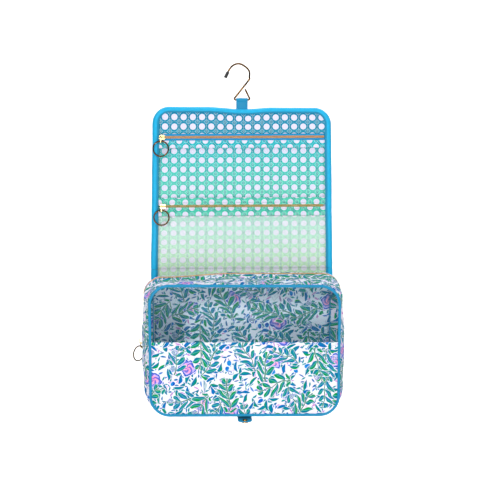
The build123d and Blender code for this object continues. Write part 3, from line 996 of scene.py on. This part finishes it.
seam_line = []
seam_y = -(binding_middle + binding_rise * STITCH_SHARE) - 0.15 * MM
for x, z, out_x, out_z, s in edge_path(20 * MM):
    x -= out_x * narrowed(STITCH_INSET, out_z)
    z -= out_z * narrowed(STITCH_INSET, out_z)
    seam_line.append(Vector((spread(x, z), seam_y, sunk(x, z))))
fold_over(stitches("binding_stitches", seam_line), POCKET_FOLD, "blue_trim")


# ---------------------------------------------------------------- the strap
ACROSS = Vector((1, 0, 0))
WEBBING = 1.2 * MM  # its thickness


def ribbon(name, line, wide, taper=None):
    """Webbing across the bag with rounded edges, along a line of points."""
    section = []
    for angle in range(0, 360, 30):
        cosine, sine = math.cos(math.radians(angle)), math.sin(math.radians(angle))
        side = math.copysign(abs(cosine) ** 0.35, cosine)
        face = math.copysign(abs(sine) ** 0.8, sine)
        section.append((side * wide / 2, face * WEBBING / 2))
    run = [0.0]
    for start, end in zip(line, line[1:]):
        run.append(run[-1] + (end - start).length)
    last = len(line) - 1

    def point(u, v):
        index = round(v * last)
        before, after = line[max(index - 1, 0)], line[min(index + 1, last)]
        out = (after - before).normalized().cross(ACROSS).normalized()
        side, face = section[round(u * len(section)) % len(section)]
        narrow = taper(run[index], run[-1]) if taper else 1.0
        return line[index] + ACROSS * (side * narrow) + out * face

    def print_at(u, v):
        return u * 2 * wide, run[round(v * last)]

    return mend(grid(name, len(section), last, point, print_at, blue, around=True), close=True)


def hanger_strap():
    """Webbing doubled over the hook's bar, with a row of stitches along each edge."""
    low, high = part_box("hanger_strap")
    wide = high.x - low.x
    loop = (high.y - low.y) / 2 - WEBBING / 2
    bar = high.z - (high.y - low.y) / 2
    half_gap = 0.75 * MM
    leg = [low.z + share * (bar - 4 * MM - low.z) for share in (0, 0.25, 0.5, 0.75, 1.0)]
    line = [Vector((bag_x, -half_gap, z)) for z in leg]
    turns = 14
    for step in range(turns + 1):
        angle = math.radians(-60 + 300 * step / turns)
        line.append(Vector((bag_x, -loop * math.cos(angle), bar + loop * math.sin(angle))))
    line += [Vector((bag_x, half_gap, z)) for z in reversed(leg)]
    fix(ribbon("strap_webbing", line, wide), "upper_panel", "blue_trim", "hanger_strap")
    face = -half_gap - WEBBING / 2
    for index, side in enumerate((-1, 1)):
        x = bag_x + side * (wide / 2 - 1.6 * MM)
        row = [Vector((x, face, panel_top - 3 * MM)), Vector((x, face, bar - 3.5 * MM))]
        fix(stitches(f"strap_stitches_{index + 1}", row, stitch=1.9 * MM), "upper_panel", "blue_trim")


hanger_strap()


# ---------------------------------------------------------------- the pouch
PULL_DOWN = 0.010  # how much lower the pouch hangs towards its right
SAG = 5.5 * MM  # how far its top sinks at the left, behind the front


def pouch_at(x, depth, z):
    """A place on the pouch, from its middle."""
    left = ease((-x - 10 * MM) / (100 * MM))
    behind = 1 - ease((depth - 22 * MM) / (60 * MM))
    sag = SAG * left * behind * ease(z / pouch_half_height)
    return Vector((bag_x + x, -depth, pouch_z + z - PULL_DOWN * x - sag))


def round_outline(share, half_width, half_height, corner):
    """The place and the outward way at a share of the way round, from the middle of the foot to the right."""
    flat = half_width - corner
    tall = half_height - corner
    quarter = math.pi / 2 * corner
    total = 4 * (flat + tall + quarter)
    s = (share % 1.0) * total
    flip, s = (1, s) if s <= total / 2 else (-1, total - s)

    def bend(centre_z, angle):
        across, up = math.cos(angle), math.sin(angle)
        return flip * (flat + corner * across), centre_z + corner * up, flip * across, up

    if s < flat:
        return flip * s, -half_height, 0, -1
    s -= flat
    if s < quarter:
        return bend(-tall, s / corner - math.pi / 2)
    s -= quarter
    if s < 2 * tall:
        return flip * half_width, s - tall, flip, 0
    s -= 2 * tall
    if s < quarter:
        return bend(tall, s / corner)
    return flip * (flat + quarter - s), half_height, 0, 1


def outline_length(half_width, half_height, corner):
    return 4 * (half_width + half_height) - 8 * corner + 2 * math.pi * corner


GIRTH = outline_length(slot_half_width, slot_half_height, pouch_corner)

CLOTH = {
    "quality": 7, "mass": 0.2, "tension_stiffness": 25, "compression_stiffness": 25, "shear_stiffness": 12,
    "bending_stiffness": 0.6, "air_damping": 2.0, "vertex_group_mass": "held", "pin_stiffness": 1.0,
    "shrink_min": -0.035, "use_pressure": True, "uniform_pressure_force": 1.5,
}
CLOTH_GRAVITY = 0.25
SETTLE_FRAMES = 22
SETTLE_LIMIT = 4 * MM  # how far the cloth may move from its flat-cut shape


def settle(made, held):
    """Lets cloth sag between the points that hold it, and keeps the shape it takes."""
    start = [vertex.co.copy() for vertex in made.data.vertices]
    group = made.vertex_groups.new(name="held")
    for index, place in enumerate(start):
        group.add([index], held(place), "REPLACE")
    drape = made.modifiers.new("cloth", "CLOTH")
    for key, value in CLOTH.items():
        setattr(drape.settings, key, value)
    drape.collision_settings.use_collision = False
    drape.collision_settings.use_self_collision = False
    drape.settings.effector_weights.gravity = CLOTH_GRAVITY
    for number in range(1, SETTLE_FRAMES + 1):
        scene.frame_set(number)
    bake_modifiers(made)
    made.vertex_groups.clear()
    scene.frame_set(1)
    for vertex, before in zip(made.data.vertices, start):
        moved = vertex.co - before
        if moved.length > SETTLE_LIMIT:
            vertex.co = before + moved * (SETTLE_LIMIT / moved.length)


CLOTH_THICKNESS = 0.9 * MM
HELD_EDGE = 1.2 * MM  # how much of a wall's edge is sewn down


def wall(name, depths, shape, rows, body, node, bulge, print_start):
    """Cloth round the pouch between two depths. shape(share) gives half width, half height and corner."""
    back, face = depths

    def point(u, v):
        x, z, out_x, out_z = round_outline(u, *shape(v))
        lift = bulge * math.sin(math.pi * v) ** 1.6
        return pouch_at(x + out_x * lift, back + v * (face - back), z + out_z * lift)

    def print_at(u, v):
        return u * GIRTH, v * (face - back) + print_start

    def held(place):
        return 1.0 if min(abs(-place.y - back), abs(-place.y - face)) < HELD_EDGE else 0.0

    made = grid(name, 300, rows, point, print_at, floral, around=True)
    settle(made, held)
    thicken(made, CLOTH_THICKNESS)
    fix(made, body, "floral_fabric", node)
    cloth((GIRTH, math.hypot(face - back, shape(1)[0] - shape(0)[0])), "pouch_front_piping")


def between_rims(share, near, far):
    """A size between two rims, each a half width and a half height, with the pouch's corner."""
    half_width, half_height = (a + share * (b - a) for a, b in zip(near, far))
    return half_width, half_height, pouch_corner


slot_rim = (slot_half_width, slot_half_height)
front_rim = (pouch_half_width - 0.8 * MM, pouch_half_height - 0.8 * MM)
back_rim = (back_half_width, back_half_height)
wall(
    "pouch_lid_gusset", (slot_front, pipe_depth - 0.6 * MM),
    lambda v: between_rims(v, slot_rim, front_rim), 32,
    "pouch_lid", "lid_gusset", 2.8 * MM, 0.0,
)
wall(
    "pouch_tray_gusset", (back_depth + 0.8 * MM, slot_back),
    lambda v: between_rims(math.sin(math.pi / 2 * v), back_rim, slot_rim), 8,
    "pouch_tray", "tray_gusset", 0.6 * MM, 0.21,
)


def pipe(name, depth, half_width, half_height, corner, body, node):
    """A covered cord round the pouch's edge."""
    total = outline_length(half_width, half_height, corner)

    def point(u, v):
        x, z, out_x, out_z = round_outline(u, half_width, half_height, corner)
        fine = noise.noise(Vector((u * total / (3.5 * MM), v * 2, 0)))
        radius = pipe_radius * (1 + 0.05 * fine + 0.03 * noise.noise(Vector((u * 60, 0, 4))))
        angle = 2 * math.pi * v
        out = math.cos(angle) * radius
        return pouch_at(x + out_x * out, depth + math.sin(angle) * radius, z + out_z * out)

    def print_at(u, v):
        return u * total, v * 2 * math.pi * pipe_radius

    made = mend(grid(name, 360, 14, point, print_at, blue, around=True), merge=0.01 * MM)
    fix(made, body, "blue_trim", node)


pipe(
    "pouch_front_piping", pipe_depth, pouch_half_width, pouch_half_height, pouch_corner,
    "pouch_lid", "front_piping",
)
pipe(
    "pouch_back_piping", back_depth, back_half_width, back_half_height, pouch_corner - pipe_radius,
    "pouch_tray", "back_piping",
)


POUCH_PRINT = (0.4, 0.9)  # where the pouch's faces were cut from their cloth


def pouch_face(
    name, heights, size, depth, material, thickness, slot, node, flat, rests_on, columns=100, rows=None
):
    """A flat-cut sheet with the pouch's round corners, between two heights from the pouch's middle.

    size is half width, half height and corner, and flat is the size that the sheet was cut to.
    """
    low, high = heights
    half_width, half_height, corner = size
    rows = rows or max(6, int((high - low) / ROW_HEIGHT))

    def place(u, v):
        z = low + v * (high - low)
        return (2 * u - 1) * half_at(abs(z), half_width, half_height, corner), z

    def point(u, v):
        x, z = place(u, v)
        return pouch_at(x, depth(x, z), z)

    def print_at(u, v):
        x, z = place(u, v)
        return x + POUCH_PRINT[0], z + POUCH_PRINT[1]

    made = thicken(grid(name, columns, rows, point, print_at, material), thickness)
    fix(made, "pouch_tray" if node.startswith("back") else "pouch_lid", slot, node)
    if rests_on:
        cloth(flat, rests_on)


FRONT_INSET = 1.2 * MM
HEM = (seam - 4.0 * MM, seam + 0.8 * MM)
half_width = pouch_half_width - FRONT_INSET
half_height = pouch_half_height - FRONT_INSET
corner = pouch_corner - FRONT_INSET
print_heights = (-half_height, seam + 0.6 * MM)
print_face = depth_range("front_print_fabric")[1]
inner_face = depth_range("front_lining")[1]
window_back, window_face = depth_range("window_vinyl")


def bulging(face, low, high, half, height, share=0.0, size=1.0, seed=0.0):
    """The depth of a sheet that stands forward between its seams, unevenly by a share."""
    return lambda x, z: face + crown(x, z, low, high, half, height) * (1 + share * ripple(x, z, size, seed))


print_depth = bulging(print_face, *print_heights, half_width, 1.9 * MM, 0.45, 42 * MM, 1.0)
window_depth = bulging(window_face, seam, half_height, half_width, 1.0 * MM, 0.9, 50 * MM, 7.0)
hem_depth = bulging(print_face + 0.55 * MM, *HEM, half_width, 0.25 * MM)
front_size = (half_width, half_height, corner)
print_flat = (2 * half_width, seam + half_height)

pouch_face(
    "pouch_front_print", print_heights, front_size, print_depth, floral, 1.0 * MM,
    "floral_fabric", "front_print_fabric", print_flat, "pouch_front_piping",
)
pouch_face(
    "pouch_front_lining", (-half_height, seam), (half_width - 0.6 * MM, half_height, corner),
    lambda x, z: inner_face, floral_inside_painted_light, 0.5 * MM,
    "lining", "front_lining", print_flat, "pouch_front_print",
)
pouch_face(
    "pouch_window", (seam - 0.5 * MM, half_height), front_size, window_depth, vinyl,
    window_face - window_back, "clear_vinyl", "window_vinyl", (2 * half_width, half_height - seam),
    "pouch_front_piping",
)
pouch_face(
    "window_seam_hem", HEM, (half_width, half_height, pouch_corner), hem_depth, floral, 0.5 * MM,
    "floral_fabric", "window_seam_tape", (2 * half_width, HEM[1] - HEM[0]), "pouch_front_print", rows=5,
)

for node, material, slot, ripples, rests_on in (
    ("back_outer_fabric", floral, "floral_fabric", 0.12 * MM, "pouch_back_board"),
    ("back_board", board, "board", 0.0, None),
    ("back_lining", floral_inside_painted_light, "lining", 0.0, "pouch_back_board"),
):
    back, face = depth_range(node)
    half_width, half_height = half_size(node, X), half_size(node, Z)
    pouch_face(
        "pouch_" + node, (-half_height, half_height), (half_width, half_height, pouch_corner - 4.2 * MM),
        uneven(face, ripples, 36 * MM, 3.0), material, face - back, slot, node,
        (2 * half_width, 2 * half_height), rests_on, columns=60, rows=44,
    )


# ---------------------------------------------------------------- the pouch's zipper and hinges
def zip_outline(share, inset, first=None):
    """A place round the zipper, from the left foot over the top to the right foot, and how long that way is.

    first is how far from the middle of the foot it starts. The teeth start just above the round corners.
    """
    half_width = slot_half_width - inset
    half_height = slot_half_height - inset
    corner = pouch_corner - inset
    total = outline_length(half_width, half_height, corner)
    start = (first or half_width - corner + math.pi / 2 * corner + 3 * MM) / total
    turn = 1 - start - share * (1 - 2 * start)
    return round_outline(turn, half_width, half_height, corner), (1 - 2 * start) * total


TEETH_INSET = 0.4 * MM
TAPE_INSET = 1.9 * MM


def pouch_zipper():
    """A row of teeth and a tape on each side of the slot round the pouch."""
    _, run = zip_outline(0, TEETH_INSET)
    count = int(run / TOOTH_PITCH)
    for name, row, shift, body, node in (
        ("pouch_teeth_tray", 0, -0.62 * MM, "pouch_tray", "tray_zipper_teeth"),
        ("pouch_teeth_lid", 1, 0.62 * MM, "pouch_lid", "lid_zipper_teeth"),
    ):
        stations = []
        for index in range(row, count, 2):
            (x, z, out_x, out_z), _ = zip_outline((index + 0.5) / count, TEETH_INSET)
            place = pouch_at(x, zip_depth, z) + FORWARD * shift
            stations.append((place, Vector((-out_z, 0, out_x)), Vector((out_x, 0, out_z)), FORWARD))
        fix(teeth(name, stations, teeth_metal), body, "gold_metal", node)
    hinge_half = half_size("bottom_hinge_strip", X) - 1 * MM
    _, run = zip_outline(0, TAPE_INSET, hinge_half)
    for name, near, far, body, node in (
        ("pouch_tape_tray", zip_depth - 0.8 * MM, slot_back - 3 * MM, "pouch_tray", "tray_zipper_tape"),
        ("pouch_tape_lid", slot_front + 3 * MM, zip_depth + 0.8 * MM, "pouch_lid", "lid_zipper_tape"),
    ):

        def point(u, v):
            (x, z, _, _), _ = zip_outline(u, TAPE_INSET, hinge_half)
            return pouch_at(x, near + v * (far - near), z)

        def print_at(u, v):
            return u * run, v * (far - near)

        made = thicken(grid(name, 300, 3, point, print_at, blue_tape), 0.45 * MM, 0.0)
        fix(made, body, "blue_trim", node)
        cloth((run, abs(far - near)), "pouch_lid_gusset")


pouch_zipper()


def hinge_strips():
    """The cloth that bends where the pouch opens and where it folds against the panel."""
    half = half_size("bottom_hinge_strip", X)
    back, face = slot_back - 4 * MM, slot_front + 4 * MM
    foot = pouch_z - slot_half_height - 0.5 * MM

    def point(u, v):
        sag = 0.5 * MM * math.sin(math.pi * v)
        return pouch_at((2 * u - 1) * half, back + v * (face - back), foot - sag - pouch_z)

    def print_at(u, v):
        return u * 2 * half, v * (face - back) + 0.31

    made = thicken(grid("pouch_bottom_hinge", 76, 14, point, print_at, floral), 0.6 * MM, 0.0)
    bends = ((bag_x, -zip_depth + 3 * MM, foot), (bag_x, -zip_depth - 3 * MM, foot))
    fold_over(made, ("pouch_tray", "pouch_lid", *bends), "floral_fabric", "bottom_hinge_strip")
    cloth((2 * half, face - back), "pouch_lid_gusset")

    half = half_size("top_hinge_strip", X)
    strip_top = panel_low + 5 * MM
    strip_foot = height_range("top_hinge_strip")[0] - 5 * MM
    depth = outer_back - 0.15 * MM

    def back_point(u, v):
        return bag_x + (2 * u - 1) * half, -depth, strip_foot + v * (strip_top - strip_foot)

    def back_print(u, v):
        x, y, z = back_point(u, v)
        return x, z

    made = thicken(grid("panel_to_pouch_strip", 76, 16, back_point, back_print, floral), 0.6 * MM, 1.0)
    bends = ((bag_x, 0, panel_low + 2 * MM), (bag_x, 0, panel_low - 4 * MM))
    fold_over(made, ("lower_panel", "pouch_tray", *bends), "floral_fabric", "top_hinge_strip")
    cloth((2 * half, strip_top - strip_foot), "pouch_back_outer_fabric")


hinge_strips()


# ---------------------------------------------------------------- the snap tab
TAB_REACH = 46 * MM
TAB_STEP = 1.5 * MM
TAB_END = 5 * MM  # the stretch over which its end is rounded
# outlines of the snap's two halves in millimetres: (radius, rise above the webbing)
DOME = ((0, -0.1), (5.2, -0.1), (5.4, 0.5), (5.1, 1.1), (4.3, 1.5), (3.0, 1.8), (1.6, 2.0), (0, 2.05))
STUD = ((0, -0.1), (3.5, -0.1), (3.6, 0.3), (2.2, 0.45), (1.5, 0.5), (1.6, 1.1), (1.2, 1.35), (0, 1.4))


def snap_tab():
    """Webbing that leaves the pouch's foot and curls down at its end, with a domed snap."""
    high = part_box("snap_tab_webbing")[1]
    line = [Vector((bag_x, high.y - 1 * MM, high.z - WEBBING / 2))]
    travelled = 0.0
    while travelled < TAB_REACH:
        angle = math.radians(0.5 + 6 * ease((travelled / TAB_REACH - 0.55) / 0.45))
        line.append(line[-1] + Vector((0, -math.cos(angle), -math.sin(angle))) * TAB_STEP)
        travelled += TAB_STEP

    def rounded(run, total):
        left = (total - run) / TAB_END
        return 1.0 if left >= 1 else 0.55 + 0.45 * math.sqrt(max(0.0, 1 - (1 - left) ** 2))

    made = ribbon("tab_webbing", line, 2 * half_size("snap_tab_webbing", X), taper=rounded)
    fix(made, "snap_tab", "blue_trim", "snap_tab_webbing")
    middle = line[-4]
    way = (line[-3] - line[-5]).normalized()
    under = -way.cross(ACROSS)

    def turned_part(name, profile, sign, node):
        def point(u, v):
            radius, rise = profile[round(v * (len(profile) - 1))]
            angle = 2 * math.pi * u
            spot = middle + under * (sign * (WEBBING / 2 + rise * MM))
            return spot + (ACROSS * math.cos(angle) + way * math.sin(angle)) * (radius * MM)

        part = grid(name, 40, len(profile) - 1, point, lambda u, v: (u, v), gold, around=True)
        fix(mend(part, merge=0.005 * MM), "snap_tab", "gold_metal", node)

    turned_part("snap_dome", DOME, 1, "snap_cap")
    turned_part("snap_post", STUD, -1, "snap_stud")


snap_tab()


# ---------------------------------------------------------------- CAD nodes that keep their shape
def repaint(material, *nodes):
    for node in nodes:
        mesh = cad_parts[node].data
        mesh.materials.clear()
        mesh.materials.append(material)


repaint(rubber, "hook_tip_cap")
repaint(gold, "snap_socket")
# the hook and the pull rings take the gold plating darkened as painted shade
repaint(gold_painted_dark, "hook_wire")
for zipper in ("upper", "lower", "side"):
    repaint(gold_painted_dark, zipper + "_pull_ring")
    repaint(pull_metal, zipper + "_zip_slider", zipper + "_pull_link")


# ---------------------------------------------------------------- camera, light and floor
LENS = 95.85
CAMERA_PLACE = (-0.0737, -1.7415, 0.0666)
CAMERA_YAW, CAMERA_PITCH = math.radians(2.5), math.radians(10.0)
FLOOR_DROP = 0.45  # from the bag's foot to the floor
FLOOR_BACK, FLOOR_BEND = 1.2, 0.9  # where the floor starts to rise behind the bag, and the radius of its bend
WORLD_LIGHT = 0.13


def camera():
    data = bpy.data.cameras.new("camera")
    data.sensor_width = 36.0
    data.lens = LENS
    made = bpy.data.objects.new("camera", data)
    made.location = CAMERA_PLACE
    made.rotation_euler = (math.pi / 2 - CAMERA_PITCH, 0, -CAMERA_YAW)
    scene.collection.objects.link(made)
    scene.camera = made


def area_light(name, place, target, size, power):
    data = bpy.data.lights.new(name, "AREA")
    data.shape = "RECTANGLE"
    data.size, data.size_y = size
    data.energy = power
    made = bpy.data.objects.new(name, data)
    made.location = place
    made.rotation_euler = (Vector(target) - Vector(place)).to_track_quat("-Z", "Y").to_euler()
    scene.collection.objects.link(made)


def backdrop():
    """A pale floor that curves up behind the bag."""
    floor_z = cad_box[0].z - FLOOR_DROP
    profile = [(-3.5, 0.0), (FLOOR_BACK, 0.0)]
    for step in range(1, 13):
        angle = math.pi / 2 * step / 12
        profile.append((FLOOR_BACK + FLOOR_BEND * math.sin(angle), FLOOR_BEND * (1 - math.cos(angle))))
    profile.append((FLOOR_BACK + FLOOR_BEND, 3.5))

    def point(u, v):
        y, z = profile[round(v * (len(profile) - 1))]
        return (2 * u - 1) * 4.0, y, floor_z + z

    paper = Paint("pale_paper", base_color=rgb(248, 248, 248), roughness=0.9)
    made = grid("studio_floor", 4, len(profile) - 1, point, lambda u, v: (u, v), paper.material)


def lights():
    area_light("key", (-1.0, -1.85, 0.52), (0, -0.05, -0.30), (0.25, 0.35), 22)
    area_light("fill", (1.4, -1.6, 0.55), (0, -0.05, -0.30), (0.7, 0.7), 14)
    area_light("top", (0.2, -0.5, 1.7), (0, 0, -0.2), (1.6, 1.2), 22)
    area_light("low_front", (0.0, -2.4, -0.7), (0, -0.05, -0.30), (0.9, 0.6), 16)
    area_light("backdrop_light", (0, 0.9, 1.4), (0, 2.1, -0.3), (3.0, 0.8), 60)
    world = bpy.data.worlds.new("world")
    world.use_nodes = True
    background = world.node_tree.nodes["Background"].inputs
    background["Color"].default_value = (1, 1, 1, 1)
    background["Strength"].default_value = WORLD_LIGHT
    scene.world = world


camera()
backdrop()
lights()
